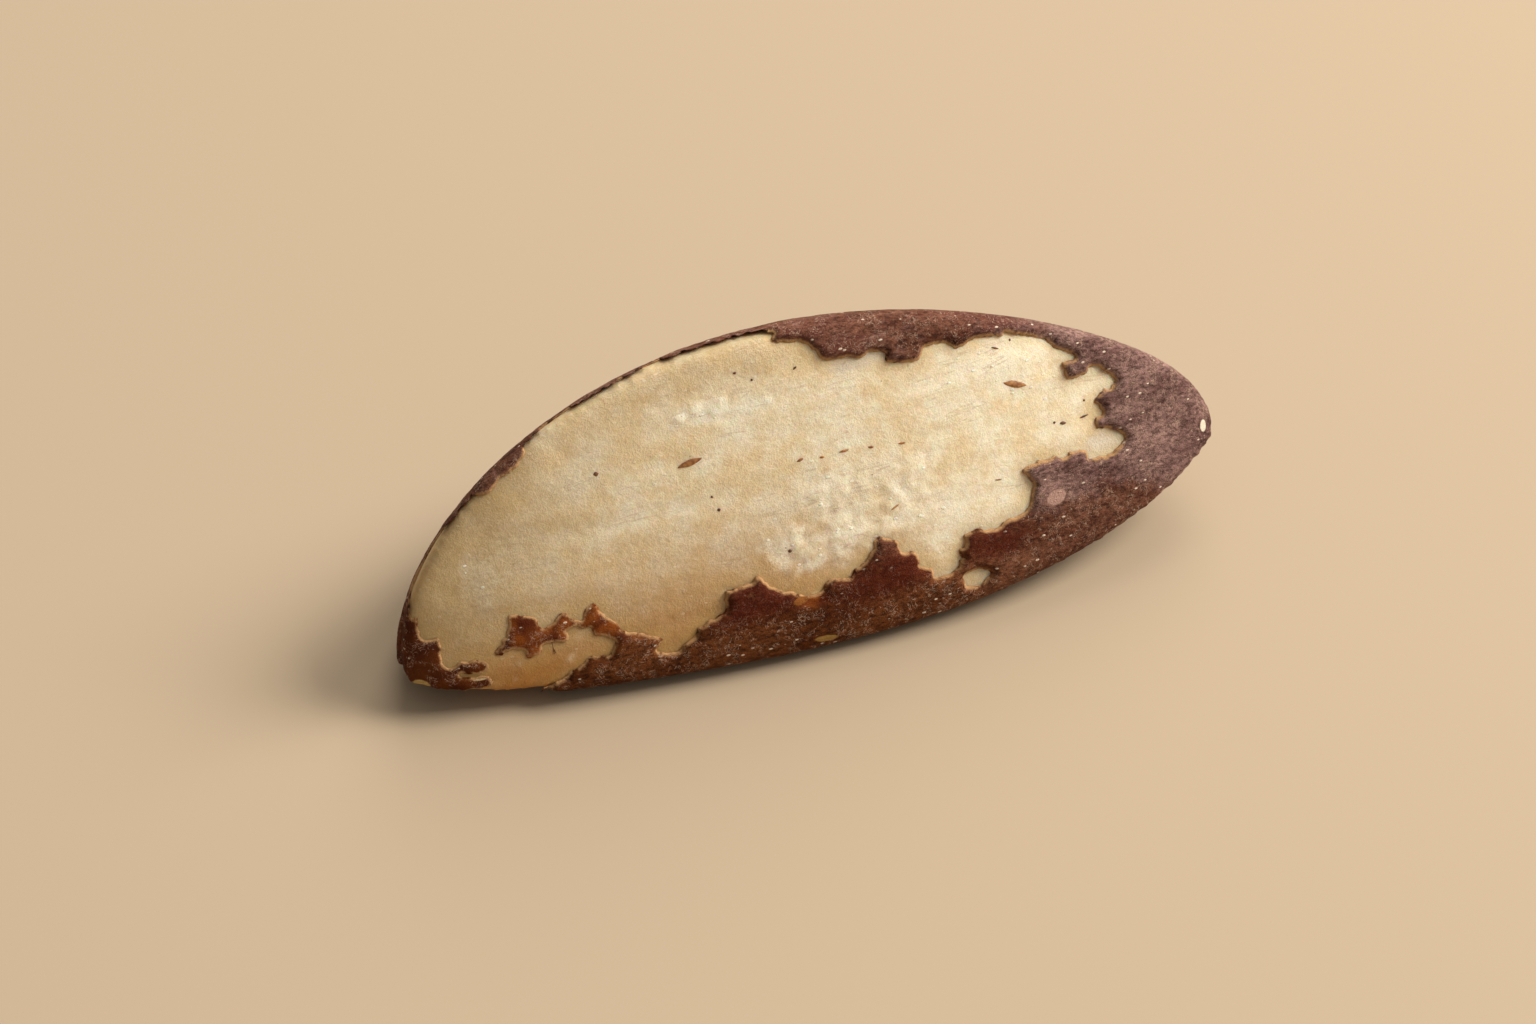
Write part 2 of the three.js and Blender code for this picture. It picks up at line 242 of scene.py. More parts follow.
kernel = merged_copy("kernel", "nut_flesh")
apply_modifier(kernel, "round", "SUBSURF", levels=ROUND_LEVELS, render_levels=ROUND_LEVELS)
apply_modifier(kernel, "even", "REMESH", mode="VOXEL", voxel_size=FLESH_VOXEL)
apply_modifier(kernel, "calm", "SMOOTH", factor=0.5, iterations=6)
skin = swollen_copy(kernel, "nut_skin", SKIN_THICKNESS)
skin_inside = swollen_copy(kernel, "skin_inside", -SKIN_ROOT)
even_faces(skin, OUTER_VOXEL)
even_faces(skin_inside, INNER_VOXEL)
count(kernel)
count(skin)

# %% [markdown]
# ## The window in the skin
#
# The skin tears in small bites, so the window's edge is a chain of scallops with little points between
# them. The outline is drawn in the plane of the broad front face, in millimetres, with X along the nut
# and the second number up across the face. It is the same outline as the CAD model's, smoothed here by a
# curve through its points and given finer bites. A prism of that outline cuts the window, and a curved
# block keeps the prism in front of the nut's ridges.

# %% The window's outline, along the nut and up the face
WINDOW_OUTLINE = [
    # long upper edge, from the blunt end
    (-19.06, 1.9), (-19.14, 2.08), (-19.1, 2.35), (-19, 2.72), (-18.87, 3), (-18.75, 3.35), (-18.5, 3.6),
    (-18.27, 3.97), (-18.07, 4.3), (-17.78, 4.6), (-17.45, 4.93), (-17.22, 5.25), (-16.9, 5.45),
    (-16.55, 5.73), (-16.11, 5.99), (-15.82, 6.28), (-15.55, 6.47),
    # flake left on the upper edge
    (-15.38, 6.61), (-15.18, 6.72), (-14.95, 6.74), (-14.6, 6.7), (-14.37, 6.78), (-14.2, 6.95),
    (-13.97, 7.15), (-13.83, 7.27), (-13.53, 7.33), (-13.17, 7.48), (-12.88, 7.65), (-12.7, 7.88),
    (-12.57, 8.1), (-12.52, 8.34), (-12.25, 8.52),
    # upper edge along the ridge
    (-11.7, 8.8), (-11, 9.2), (-10, 9.48), (-9, 9.78), (-8, 10.03), (-7, 10.28), (-6, 10.47), (-5, 10.56),
    (-4, 10.64), (-3, 10.68), (-2, 10.7), (-1, 10.66), (-0.38, 10.5),
    # ragged patch that hangs down from the ridge
    (-0.6, 10.2), (-0.55, 10.05), (-0.2, 9.97), (0.33, 9.86), (0.67, 9.74), (0.98, 9.46), (1.25, 9.12),
    (1.45, 8.71), (2.02, 8.56), (2.52, 8.52), (2.87, 8.43), (3.2, 8.28), (3.4, 8.32), (3.62, 8.45),
    (3.95, 8.43), (4.22, 8.34), (4.33, 8.08), (4.33, 7.88), (4.44, 7.73), (4.9, 7.64), (5.35, 7.53),
    (5.73, 7.45), (5.98, 7.57), (6.1, 7.72), (6.17, 7.91), (6.35, 8.01), (6.65, 8.03), (7.05, 7.99),
    (7.38, 7.86), (7.54, 7.68), (7.86, 7.51), (8.32, 7.53), (8.45, 7.67), (8.68, 7.73), (9, 7.76),
    (9.4, 7.7), (9.9, 7.58), (10.16, 7.52), (10.25, 7.66), (10.57, 7.55), (11.08, 7.34), (11.68, 7.11),
    (12.1, 6.91), (12.35, 6.65), (12.47, 6.4), (12.75, 6.17), (13.19, 5.89), (13.46, 5.64),
    # small tongue and the bay behind it
    (13.39, 5.47), (12.9, 5.5), (12.73, 5.45), (12.76, 5.17), (12.74, 4.86), (12.9, 4.66), (13.26, 4.65),
    (13.7, 4.68), (13.9, 4.79), (14.05, 4.94), (14.4, 4.9), (14.66, 4.61), (15.01, 4.33), (15.2, 4),
    # edge toward the pointed tip
    (15.1, 3.84), (14.76, 3.7), (14.55, 3.74), (14.25, 3.57), (13.9, 3.35), (14.04, 3.12), (14.14, 2.88),
    (14.1, 2.6), (13.79, 2.55), (13.66, 2.3), (13.76, 2.05), (14.24, 1.96), (14.57, 1.79), (14.96, 1.48),
    (15.03, 1.26), (14.83, 1.03), (14.5, 0.86), (14.14, 0.75), (13.8, 0.66), (13.62, 0.77), (13.24, 0.75),
    (13.02, 0.88), (13, 1.16), (12.8, 1.29), (12.47, 1.37), (12.17, 1.42), (12, 1.23), (11.65, 1.22),
    (11.35, 1.44), (11.2, 1.34), (10.75, 1.35), (10.5, 1.45), (10.42, 1.35), (9.9, 1.34), (9.64, 1.2),
    # lower edge, back toward the blunt end
    (9.75, 0.93), (9.92, 0.64), (10, 0.38), (9.88, 0.1), (9.68, -0.37), (9.36, -0.68), (8.96, -0.82),
    (8.7, -0.85), (8.45, -0.8), (8.2, -0.87), (8, -1.05), (7.79, -1.07), (7.48, -1.03), (6.94, -0.85),
    (6.68, -0.86), (6.33, -0.9), (6.1, -1), (6.2, -1.27), (6.04, -1.44), (5.81, -1.54), (5.77, -1.76),
    (5.87, -1.95), (5.7, -2.02), (5.68, -2.25), (5.3, -2.47), (4.82, -2.53), (4.48, -2.51), (4.38, -2.39),
    (4.4, -2.12), (4.28, -1.98), (4, -1.89), (3.82, -1.72), (3.84, -1.5), (3.8, -1.25), (3.72, -1.04),
    (3.53, -0.97), (3.2, -0.88), (3.02, -0.66), (3.04, -0.43), (2.95, -0.23), (2.58, -0.1), (2.27, 0.1),
    (2.05, 0.04), (1.86, -0.14), (1.77, -0.4), (1.5, -0.7), (1.27, -0.86), (1, -1.02), (0.77, -1.08),
    (0.64, -1.24), (0.4, -1.35), (0.02, -1.29), (-0.38, -1.18), (-0.65, -1.32), (-0.82, -1.49),
    (-1.15, -1.71), (-1.52, -1.7), (-1.9, -1.54), (-2.12, -1.39), (-2.4, -1.22), (-2.9, -1), (-3.28, -0.63),
    (-3.51, -0.3), (-3.66, -0.12), (-3.82, -0.22), (-3.96, -0.35), (-4.34, -0.39), (-4.8, -0.43),
    (-5.13, -0.43), (-5.27, -0.5), (-5.29, -0.66), (-5.38, -0.82), (-5.38, -1.1), (-5.53, -1.35),
    (-5.88, -1.48), (-6.19, -1.53), (-6.48, -1.69), (-6.72, -1.73), (-6.91, -1.91), (-7.05, -2.17),
    (-7.4, -2.29), (-7.64, -2.42), (-7.93, -2.64), (-8.33, -2.59), (-8.69, -2.47), (-8.85, -2.32),
    (-8.77, -2.19), (-8.58, -2.03), (-8.49, -1.88), (-8.57, -1.75), (-8.93, -1.58), (-9.2, -1.41),
    (-9.5, -1.25),
    # upper side of the long thin tongue
    (-9.94, -1.13), (-10.16, -0.93), (-10.26, -0.73), (-10.35, -0.47), (-10.6, -0.27), (-10.79, -0.06),
    (-10.95, 0.24), (-11.05, 0.45), (-11.17, 0.59), (-11.4, 0.5), (-11.55, 0.38), (-11.68, 0.24),
    (-11.82, 0), (-12.12, 0.05), (-12.36, 0.23), (-12.45, 0.47), (-12.72, 0.5), (-12.9, 0.34),
    (-13.1, 0.13), (-13.52, 0.06), (-13.72, 0.22), (-13.76, 0.49), (-13.94, 0.67), (-14.42, 0.88),
    (-14.8, 1), (-14.94, 0.94), (-14.97, 0.75), (-15.1, 0.48), (-15.22, 0.22), (-15.24, 0.05),
    (-15.45, -0.04), (-15.52, -0.22), (-15.76, -0.37),
    # its end and lower side
    (-15.9, -0.5), (-15.82, -0.65), (-15.62, -0.71), (-15.35, -0.6), (-14.9, -0.6), (-14.6, -0.73),
    (-14.57, -1.02), (-14.42, -1.2), (-14.1, -1.17), (-13.92, -1.07), (-13.82, -0.9), (-13.58, -0.69),
    (-13.19, -0.72), (-12.79, -0.79), (-12.58, -0.69), (-12.59, -0.48), (-12.65, -0.37), (-12.42, -0.27),
    (-12.17, -0.32), (-11.82, -0.42), (-11.6, -0.45), (-11.47, -0.57), (-11.4, -0.84), (-11.3, -0.94),
    (-11.03, -0.97), (-10.84, -1.14), (-10.64, -1.28), (-10.61, -1.5), (-10.79, -1.75), (-10.98, -1.94),
    (-11.28, -1.89), (-11.63, -1.8), (-11.9, -1.81), (-12.06, -1.93), (-12.34, -2.05), (-12.5, -2.2),
    (-12.83, -2.3), (-13.1, -2.46), (-13.45, -2.63), (-13.86, -2.78), (-14.25, -2.86),
    # along the front ridge
    (-14.8, -2.76), (-15.5, -2.62), (-16.2, -2.47), (-16.9, -2.33), (-17.5, -2.22),
    # patch round the blunt end
    (-17.53, -2.11), (-16.94, -2.1), (-16.5, -2), (-16.29, -1.87), (-16.27, -1.7), (-16.42, -1.55),
    (-16.75, -1.43), (-16.96, -1.48), (-17.3, -1.34), (-17.62, -1.2), (-17.53, -1.14), (-17.25, -1.24),
    (-16.89, -1.3), (-16.57, -1.3), (-16.35, -1.18), (-16.3, -1), (-16.44, -0.79), (-16.76, -0.65),
    (-17.22, -0.57), (-17.54, -0.58), (-17.76, -0.72), (-17.95, -0.74), (-18.11, -0.61), (-18.23, -0.31),
    (-18.21, 0), (-18.12, 0.26), (-18.13, 0.55), (-18.21, 0.74), (-18.54, 0.73), (-18.8, 0.8),
    (-18.86, 0.95), (-18.9, 1.27), (-18.86, 1.64), (-18.85, 1.87),
]

# %% Curve through an outline's points
OUTLINE_STEP = 0.07  # mm between the points of the smoothed outline


def curve_point(before, start, end, after, t):
    return 0.5 * (
        2 * start + (end - before) * t
        + (2 * before - 5 * start + 4 * end - after) * t ** 2
        + (3 * start - before - 3 * end + after) * t ** 3
    )


def smooth_outline(points):
    points = [Vector(point) for point in points]
    total = len(points)
    fine = []
    for i in range(total):
        before, start, end, after = (points[(i + k) % total] for k in (-1, 0, 1, 2))
        steps = max(1, round((end - start).length / OUTLINE_STEP))
        fine += [curve_point(before, start, end, after, step / steps) for step in range(steps)]
    print("smoothed outline has", len(fine), "points")
    return fine


# %% Fine bites along the outline
BITE_DEPTH = 0.055  # mm
BITE_SCALE = 3.0  # bites per mm, about
BITE_SEED = 3.7


def bitten(outline):
    torn = []
    for i, point in enumerate(outline):
        along = (outline[(i + 1) % len(outline)] - outline[i - 1]).normalized()
        wave = noise.noise(Vector((point.x * BITE_SCALE, point.y * BITE_SCALE, BITE_SEED)))
        torn.append(point + Vector((along.y, -along.x)) * (BITE_DEPTH * (0.5 - 2.5 * abs(wave))))
    return torn


# %% Prism of an outline
def prism(name, outline, floor, top, turn, place=Vector()):
    corners = [(x * MM, y * MM, floor * MM) for x, y in outline]
    mesh = bpy.data.meshes.new(name)
    mesh.from_pydata(corners, [], [tuple(range(len(corners)))])
    cutter = bpy.data.objects.new(name, mesh)
    bpy.context.scene.collection.objects.link(cutter)
    select_only(cutter)
    bpy.ops.object.mode_set(mode="EDIT")
    bpy.ops.mesh.select_all(action="SELECT")
    bpy.ops.mesh.extrude_region_move(TRANSFORM_OT_translate={"value": (0, 0, (top - floor) * MM)})
    bpy.ops.mesh.select_all(action="SELECT")
    bpy.ops.mesh.quads_convert_to_tris(ngon_method="BEAUTY")
    bpy.ops.mesh.normals_make_consistent(inside=False)
    bpy.ops.object.mode_set(mode="OBJECT")
    mesh.transform(Matrix.Translation(place * MM) @ turn.to_4x4())
    return cutter


# %% [markdown]
# ## The block in front of the ridges
#
# A straight prism would also cut into the ridges above and below the face. The block that it is cut down
# to has a floor that falls away toward both ends of the nut and waves a little, so that the skin's edge
# along a ridge wanders as a torn edge does. The floor is a fine grid, and each of its points is set to the
# height that a formula gives for its place, which is simpler than bending a plane.

# %% Floor of the block
CUT_FLOOR = 6.15  # mm outward from the origin, at the middle of the face
CUT_FALL = 0.00025  # makes it fall away to both ends
UPPER_LEFT_DROP = 0.4
LOWER_LEFT_DROP = 1.3


def smoothstep(low, high, value):
    share = np.clip((value - low) / (high - low), 0, 1)
    return share * share * (3 - 2 * share)


def floor_wave(along):
    long_wave = 0.25 * noise.noise(Vector((1.1 * along, 0.4, 2.0)))
    short_wave = 0.12 * noise.noise(Vector((3.2 * along, 7.0, 1.0)))
    return (long_wave + short_wave) * smoothstep(-18.6, -16.8, along)


def cut_floor(along, up):
    on_upper_left = smoothstep(2, 4, up) * smoothstep(0.5, 2.5, -along)
    on_lower_left = smoothstep(1.2, 2.2, -up) * smoothstep(11.5, 13, -along)
    level = CUT_FLOOR - CUT_FALL * abs(along) ** 3 + floor_wave(along)
    return level - UPPER_LEFT_DROP * on_upper_left - LOWER_LEFT_DROP * on_lower_left


# %% Block
FACE_TILT = math.radians(52.5)  # the broad face looks this far forward from straight up
FACE_TURN = Matrix.Rotation(FACE_TILT, 3, "X")
BLOCK_LENGTH = 42
BLOCK_WIDTH = 30
BLOCK_TOP = 13


def front_block():
    bpy.ops.mesh.primitive_grid_add(x_subdivisions=240, y_subdivisions=50, size=1)
    block = bpy.context.object
    block.name = "front_block"
    bpy.ops.object.mode_set(mode="EDIT")
    bpy.ops.mesh.select_all(action="SELECT")
    bpy.ops.mesh.extrude_region_move(TRANSFORM_OT_translate={"value": (0, 0, 1)})
    bpy.ops.mesh.select_all(action="SELECT")
    bpy.ops.mesh.normals_make_consistent(inside=False)
    bpy.ops.object.mode_set(mode="OBJECT")
    for vertex in block.data.vertices:
        along, up = vertex.co.x * BLOCK_LENGTH, vertex.co.y * BLOCK_WIDTH
        out = BLOCK_TOP if vertex.co.z > 0.5 else cut_floor(along, up)
        vertex.co = FACE_TURN @ Vector((along, up, out)) * MM
    return block


# %% [markdown]
# ## Cutting the skin
#
# A Boolean takes the swollen copy's inside away, which leaves a sheet, and then each opening. The manifold
# solver is quick on such fine meshes and leaves them closed. The small spot beside the front ridge and the
# peeled oval below the blunt end are ovals with a waved edge. Where a cut leaves crumbs that hang in the
# air, only the largest part is kept.

# %% Boolean cut, and the window
def cut(piece, cutter, operation="DIFFERENCE"):
    apply_modifier(piece, "cut", "BOOLEAN", object=cutter, operation=operation, solver="MANIFOLD")
    bpy.data.objects.remove(cutter)


window = prism("window", bitten(smooth_outline(WINDOW_OUTLINE)), floor=-2, top=12.5, turn=FACE_TURN)
cut(window, front_block(), "INTERSECT")
count(window)


# %% Small openings
def oval(length, width, points=60, wave=0.08):
    outline = []
    for i in range(points):
        turn = 2 * math.pi * i / points
        reach = 0.5 + 0.5 * wave * (math.sin(3 * turn + 0.6) + math.cos(5 * turn))
        outline.append((length * reach * math.cos(turn), width * reach * math.sin(turn)))
    return outline


SIDE_SPOT = {"x": 6.35, "up": -3.08}
side_outline = [(SIDE_SPOT["x"] + x, SIDE_SPOT["up"] + up) for x, up in oval(length=1.3, width=0.82)]
side_spot = prism("side_spot", side_outline, floor=4.4, top=12, turn=FACE_TURN)

UNDER_PATCH_TURN = Matrix.Rotation(math.radians(-14), 3, "Z") @ Matrix.Rotation(math.radians(128), 3, "X")
UNDER_PATCH_PLACE = Vector((-16, -5.35, 0.55))
under_outline = oval(length=4.2, width=2)
under_patch = prism("under_patch", under_outline, -1.6, 1.6, UNDER_PATCH_TURN, UNDER_PATCH_PLACE)

for cutter in (skin_inside, window, side_spot, under_patch):
    cut(skin, cutter)
count(skin)


# %% Keep the sheet and drop loose crumbs
def keep_largest(piece):
    select_only(piece)
    bpy.ops.mesh.separate(type="LOOSE")
    parts = sorted(bpy.context.selected_objects, key=lambda part: len(part.data.vertices))
    name = piece.name
    for crumb in parts[:-1]:
        bpy.data.objects.remove(crumb)
    parts[-1].name = name
    print("dropped", len(parts) - 1, "crumbs")
    return parts[-1]


skin = keep_largest(skin)

# %% [markdown]
# ## The torn edge
#
# Real skin is not equally thick. It thins toward a tear, where its edge is only about a tenth of a
# millimetre high, and it is thinnest where an inner brown layer is all that is left. The height of each
# outer point above the flesh is set from its distance to the tear. The distances come from a search tree
# of points along the rim, and they are stored on the mesh, because the finish needs them too.

# %% Coordinates, stored values and search trees
def coordinates(piece):
    flat = np.empty(len(piece.data.vertices) * 3)
    piece.data.vertices.foreach_get("co", flat)
    return flat.reshape(-1, 3)


def store(piece, name, values):
    attribute = piece.data.attributes.new(name, "FLOAT", "POINT")
    attribute.data.foreach_set("value", np.asarray(values, dtype=np.float32))


def tree_of(piece):
    faces = [tuple(face.vertices) for face in piece.data.polygons]
    return BVHTree.FromPolygons([vertex.co for vertex in piece.data.vertices], faces)


# %% Heights above the flesh
flesh_tree = tree_of(kernel)
skin_points = coordinates(skin)
nearest = [flesh_tree.find_nearest(Vector(point)) for point in skin_points]
flesh_points = np.array([hit[0] for hit in nearest])
from_flesh = skin_points - flesh_points
heights = np.linalg.norm(from_flesh, axis=1)
outward = np.einsum("ij,ij->i", from_flesh, np.array([hit[1] for hit in nearest]))
is_outer = (heights > 0.5 * SKIN_THICKNESS) & (outward > 0)
directions = from_flesh / np.maximum(heights, 1e-9)[:, None]
print(int(is_outer.sum()), "of", len(is_outer), "points are on the outside")

# %% Distance to the tear
wall_faces = [
    face for face in skin.data.polygons
    if any(is_outer[i] for i in face.vertices) and not all(is_outer[i] for i in face.vertices)
]
rim = sorted({i for face in wall_faces for i in face.vertices if is_outer[i]})
rim_tree = KDTree(len(rim))
for i in rim:
    rim_tree.insert(skin_points[i], i)
rim_tree.balance()


def distance_to_tear(points):
    return np.array([rim_tree.find(point)[2] for point in points]) / MM


tear_distance = distance_to_tear(skin_points)
print(len(rim), "points on the outer rim of the tears")

# %% [markdown]
# ## Places on the broad face
#
# Much on this nut differs from place to place: a thin tongue here, a glossy red layer there, a scar. Each
# such place is a soft oval in the plane of the face, named by where it lies and how large it is. They could
# be painted by hand, but a list of places is easier to read and to change. The ripples that keep their
# edges from looking drawn are noise, which gives the same values each time.

# %% Soft ovals and ripples
SOFT_EDGE = 0.35  # of an oval's half width
FRONT = 3  # mm outward from the origin; only the front of the nut lies beyond it


def face_position(points):
    turned = points @ np.array(FACE_TURN) / MM
    return turned[:, 0], turned[:, 1], turned[:, 2]


def patch(points, x, up, length, width, turn=0, soft=SOFT_EDGE):
    along, across, out = face_position(points)
    c, s = math.cos(math.radians(turn)), math.sin(math.radians(turn))
    u = ((along - x) * c + (across - up) * s) / (0.5 * length)
    v = ((across - up) * c - (along - x) * s) / (0.5 * width)
    return (1 - smoothstep(1 - soft, 1 + soft, np.hypot(u, v))) * (out > FRONT)


def patches(points, places, soft=SOFT_EDGE):
    return np.max([patch(points, **place, soft=soft) for place in places], axis=0)


def ripple(points, scale, seed, stretch=1.0):
    offset = Vector((seed, 2 * seed, -seed))
    fit = Vector((1 / stretch, 1, 1)) * scale / MM
    return np.array([noise.noise(Vector(point) * fit + offset) for point in points])


# %% Thin, dark and red places in the skin
THIN_PLACES = [
    {"x": -12.9, "up": -0.1, "length": 8.2, "width": 3.4},  # long thin tongue
    {"x": -17.9, "up": -1.3, "length": 5.0, "width": 3.4},  # patch round the blunt end
    {"x": -19.0, "up": 0.5, "length": 3.0, "width": 3.4},
    {"x": -1.3, "up": -1.9, "length": 1.6, "width": 0.5},
]
DARK_PLACES = [
    {"x": -17.9, "up": -1.3, "length": 6.0, "width": 4.2},
    {"x": -19.0, "up": 0.6, "length": 3.6, "width": 4.0},
]
RED_PLACES = [
    {"x": -4.2, "up": -1.15, "length": 5.6, "width": 2.0},
    {"x": 2.9, "up": -1.5, "length": 6.6, "width": 2.2, "turn": 8},
    {"x": 7.5, "up": -1.6, "length": 3.4, "width": 1.6},
    {"x": -8.0, "up": -0.9, "length": 2.4, "width": 1.4},
]
MAROON_PLACES = [
    {"x": 0.6, "up": 9.4, "length": 6.5, "width": 2.6, "turn": -4},
    {"x": 9.5, "up": 8.6, "length": 6.0, "width": 1.6, "turn": -25},
]
thin = patches(skin_points, THIN_PLACES)
dark = patches(skin_points, DARK_PLACES)
red = patches(skin_points, RED_PLACES, soft=0.6)
maroon = patches(skin_points, MAROON_PLACES, soft=0.6)
print("thin points:", int((thin > 0.5).sum()), "red points:", int((red > 0.5).sum()))

# %% [markdown]
# ## The height of the skin's edge
#
# Along the upper left the skin is a narrow strip, and the flesh stands almost as high as its edge. There
# the flesh and the edge are lifted together. Everywhere the outside rises from the low rim to its full
# height over a third of a millimetre. This could be a Displace modifier, but the rim, the thin places and
# the lift would then need a map each, so the points are moved in code.

# %% Flesh that stands almost as high as the skin
EDGE_LIFT = 0.2 * MM


def upper_left(points):
    along, up = face_position(points)[:2]
    return smoothstep(1, 3, up) * smoothstep(-1.0, 3.5, -along)


def edge_lift(points, distance):
    return EDGE_LIFT * upper_left(points) * (1 - smoothstep(0.5, 2.2, distance))


# %% Heights of the outer skin
RIM_HEIGHT = 0.08 * MM
RIM_WIDTH = 0.3  # mm over which the skin rises to its full height
LUMP_HEIGHT = 0.018 * MM
FINE_LUMP_HEIGHT = 0.012 * MM
THINNING = 0.55  # of the full height, in the thin places
SINK = 0.04 * MM  # leaves the relief room below the swollen copy

lumps = ripple(skin_points, scale=1.6, seed=4.0, stretch=1.6)
fine_lumps = ripple(skin_points, scale=4.6, seed=9.0, stretch=1.8)
full = SKIN_THICKNESS * (1 - THINNING * thin)
rise = smoothstep(-0.05, RIM_WIDTH, tear_distance + 0.12 * lumps)
relief = (LUMP_HEIGHT * lumps + FINE_LUMP_HEIGHT * fine_lumps) * (1 + 2.5 * red + 1.2 * thin)
low_rim = RIM_HEIGHT * (1 - 0.4 * upper_left(skin_points)) + edge_lift(skin_points, tear_distance)
wanted = np.minimum(low_rim + (full - low_rim) * rise + relief * rise - SINK, heights)
print("skin stands up to", round(wanted[is_outer].max() / MM, 2), "mm high")

# %% Moved points of the skin
moved = flesh_points + directions * wanted[:, None]
new_points = np.where(is_outer[:, None], moved, skin_points)
new_points[:, 2] = np.maximum(new_points[:, 2], 0)
skin.data.vertices.foreach_set("co", new_points.ravel())
skin.data.update()

# %% Values for the skin's finish
along, up, out = face_position(skin_points)
below = 1 - smoothstep(-2.0, 0.2, up - 0.09 * np.maximum(along - 4, 0))
# Purple-grey toward the pointed end and the outward side: the skin's own tone, lightened by a painted
# sheen.
purple_and_sheen = smoothstep(4.3, 14, along - 0.3 * (up - 1) + 2.5 * lumps)
purple_and_sheen = purple_and_sheen * smoothstep(-2, 0.5, up - 0.12 * (along - 10) + 0.5 * np.maximum(along - 14, 0))
purple_and_sheen = purple_and_sheen * (0.35 + 0.65 * smoothstep(-1, 4, out))
for name, values in (
    ("tear_distance", np.where(is_outer, tear_distance, 0)),
    ("thin", thin),
    ("dark", dark),
    ("red", red),
    ("maroon", maroon),
    ("low_band", below * (1 - smoothstep(2, 14, along))),
    ("purple_and_sheen", np.maximum(purple_and_sheen, 0.12 * (up > 5))),
):
    store(skin, name, values)
    print(name, "is stored, mean", round(float(np.mean(values)), 3))

# %% [markdown]
# ## Relief of the flesh
#
# The flesh is not quite smooth where the skin was pulled off. It has shallow growth ridges that run along
# the nut, a broken whitish scar, and low round blisters. They are too low to model by pulling single
# points, so each is a named place on the face with a height, and every point near it is raised.

# %% Blisters, scar, and pale and grey places
BLISTERS = [
    {"x": 0.4, "up": 2.6, "length": 2.6, "width": 2.2},
    {"x": 3.9, "up": 1.7, "length": 3.0, "width": 2.2},
    {"x": 4.6, "up": 2.7, "length": 1.8, "width": 1.6},
    {"x": -1.5, "up": 0.6, "length": 2.8, "width": 2.0},
    {"x": 1.1, "up": 0.9, "length": 4.0, "width": 2.2, "turn": 20},
    {"x": 2.4, "up": 0.5, "length": 2.2, "width": 1.6},
]
SCAR = [
    {"x": -5.4, "up": 7.8, "length": 0.9, "width": 0.5},
    {"x": -4.1, "up": 7.75, "length": 2.2, "width": 1.1},
    {"x": -2.2, "up": 7.5, "length": 1.9, "width": 0.4},
]
PALE_PLACES = BLISTERS + SCAR + [
    {"x": -15.6, "up": 3.2, "length": 2.0, "width": 3.0},
    {"x": 10.2, "up": 6.2, "length": 6.5, "width": 3.6},
    {"x": 6.5, "up": 0.2, "length": 4.5, "width": 2.6},
]
GREY_PLACES = [
    {"x": 13.9, "up": 1.35, "length": 1.9, "width": 1.0},
    {"x": 3.0, "up": 8.2, "length": 2.6, "width": 0.7},
]

# %% Raised points of the flesh
BLISTER_HEIGHT = 0.05 * MM
RIDGE_HEIGHT = 0.035 * MM
LIFT_SHARE = 0.75  # of the skin's lift, so that the flesh stays just below the skin

flesh = coordinates(kernel)
normals = np.empty(len(flesh) * 3)
kernel.data.vertex_normals.foreach_get("vector", normals)
flesh_distance = distance_to_tear(flesh)
blister = patches(flesh, BLISTERS + SCAR, soft=0.8)
grain = ripple(flesh, scale=2.2, seed=1.0)
growth = ripple(flesh, scale=1.5, seed=6.0, stretch=9.0)
raised = BLISTER_HEIGHT * blister * (0.5 + 1.3 * grain) + RIDGE_HEIGHT * (growth + 0.5 * grain)
near_edge = upper_left(flesh) * (1 - smoothstep(0.8, 2.6, flesh_distance))
raised = raised * (1 - 0.6 * near_edge) + LIFT_SHARE * edge_lift(flesh, flesh_distance)
flesh_now = flesh + normals.reshape(-1, 3) * raised[:, None]
kernel.data.vertices.foreach_set("co", flesh_now.ravel())
kernel.data.update()
print("flesh raised by", round(raised.min() / MM, 3), "to", round(raised.max() / MM, 3), "mm")

# %% Values for the flesh's finish
along, up = face_position(flesh)[:2]
ragged = 0.5 * ripple(flesh, scale=0.9, seed=2.0) + 0.45 * ripple(flesh, scale=2.4, seed=5.0)
scar_edge = 0.5 * ripple(flesh, scale=3.2, seed=8.0)
# Amber toward the lower side: the flesh's yellower tone with painted shade near the floor.
low_side = 1 - smoothstep(-2.5, 4.5, up + 0.25 * np.maximum(-9 - along, 0))
# Painted shade: darker cream along the top edge and at the blunt end.
top_edge = 0.75 * smoothstep(7.2, 10.2, up) * (1 - smoothstep(-2, 8, along))
blunt_end = 1 - smoothstep(-18.5, -8, along - 0.3 * (up - 2))
for name, values in (
    ("pale", smoothstep(0.2, 0.95, patches(flesh, PALE_PLACES, soft=0.9) + ragged)),
    ("scar", smoothstep(0.3, 0.7, patches(flesh, SCAR, soft=0.5) + scar_edge)),
    ("grey", patches(flesh, GREY_PLACES)),
    ("amber_and_shade", low_side * (1 - smoothstep(-4, 9, along))),
    ("painted_shade", np.maximum(blunt_end, top_edge)),
    ("deep_amber_and_shade", patch(flesh, x=-15, up=-3.0, length=9, width=4.4, soft=0.7)),
    ("tear_distance", flesh_distance),
):
    store(kernel, name, values)
    print(name, "is stored, mean", round(float(np.mean(values)), 3))

# %% [markdown]
# ## Flecks on the flesh
#
# Two scraps of brown skin shaped like lenses lie on the flesh, with a few dots and short dashes between
# them. They stand a little above it and have crisp ends, so they are modelled: each is a flattened ball
# with drawn-in ends, laid on the flesh and sunk by half.

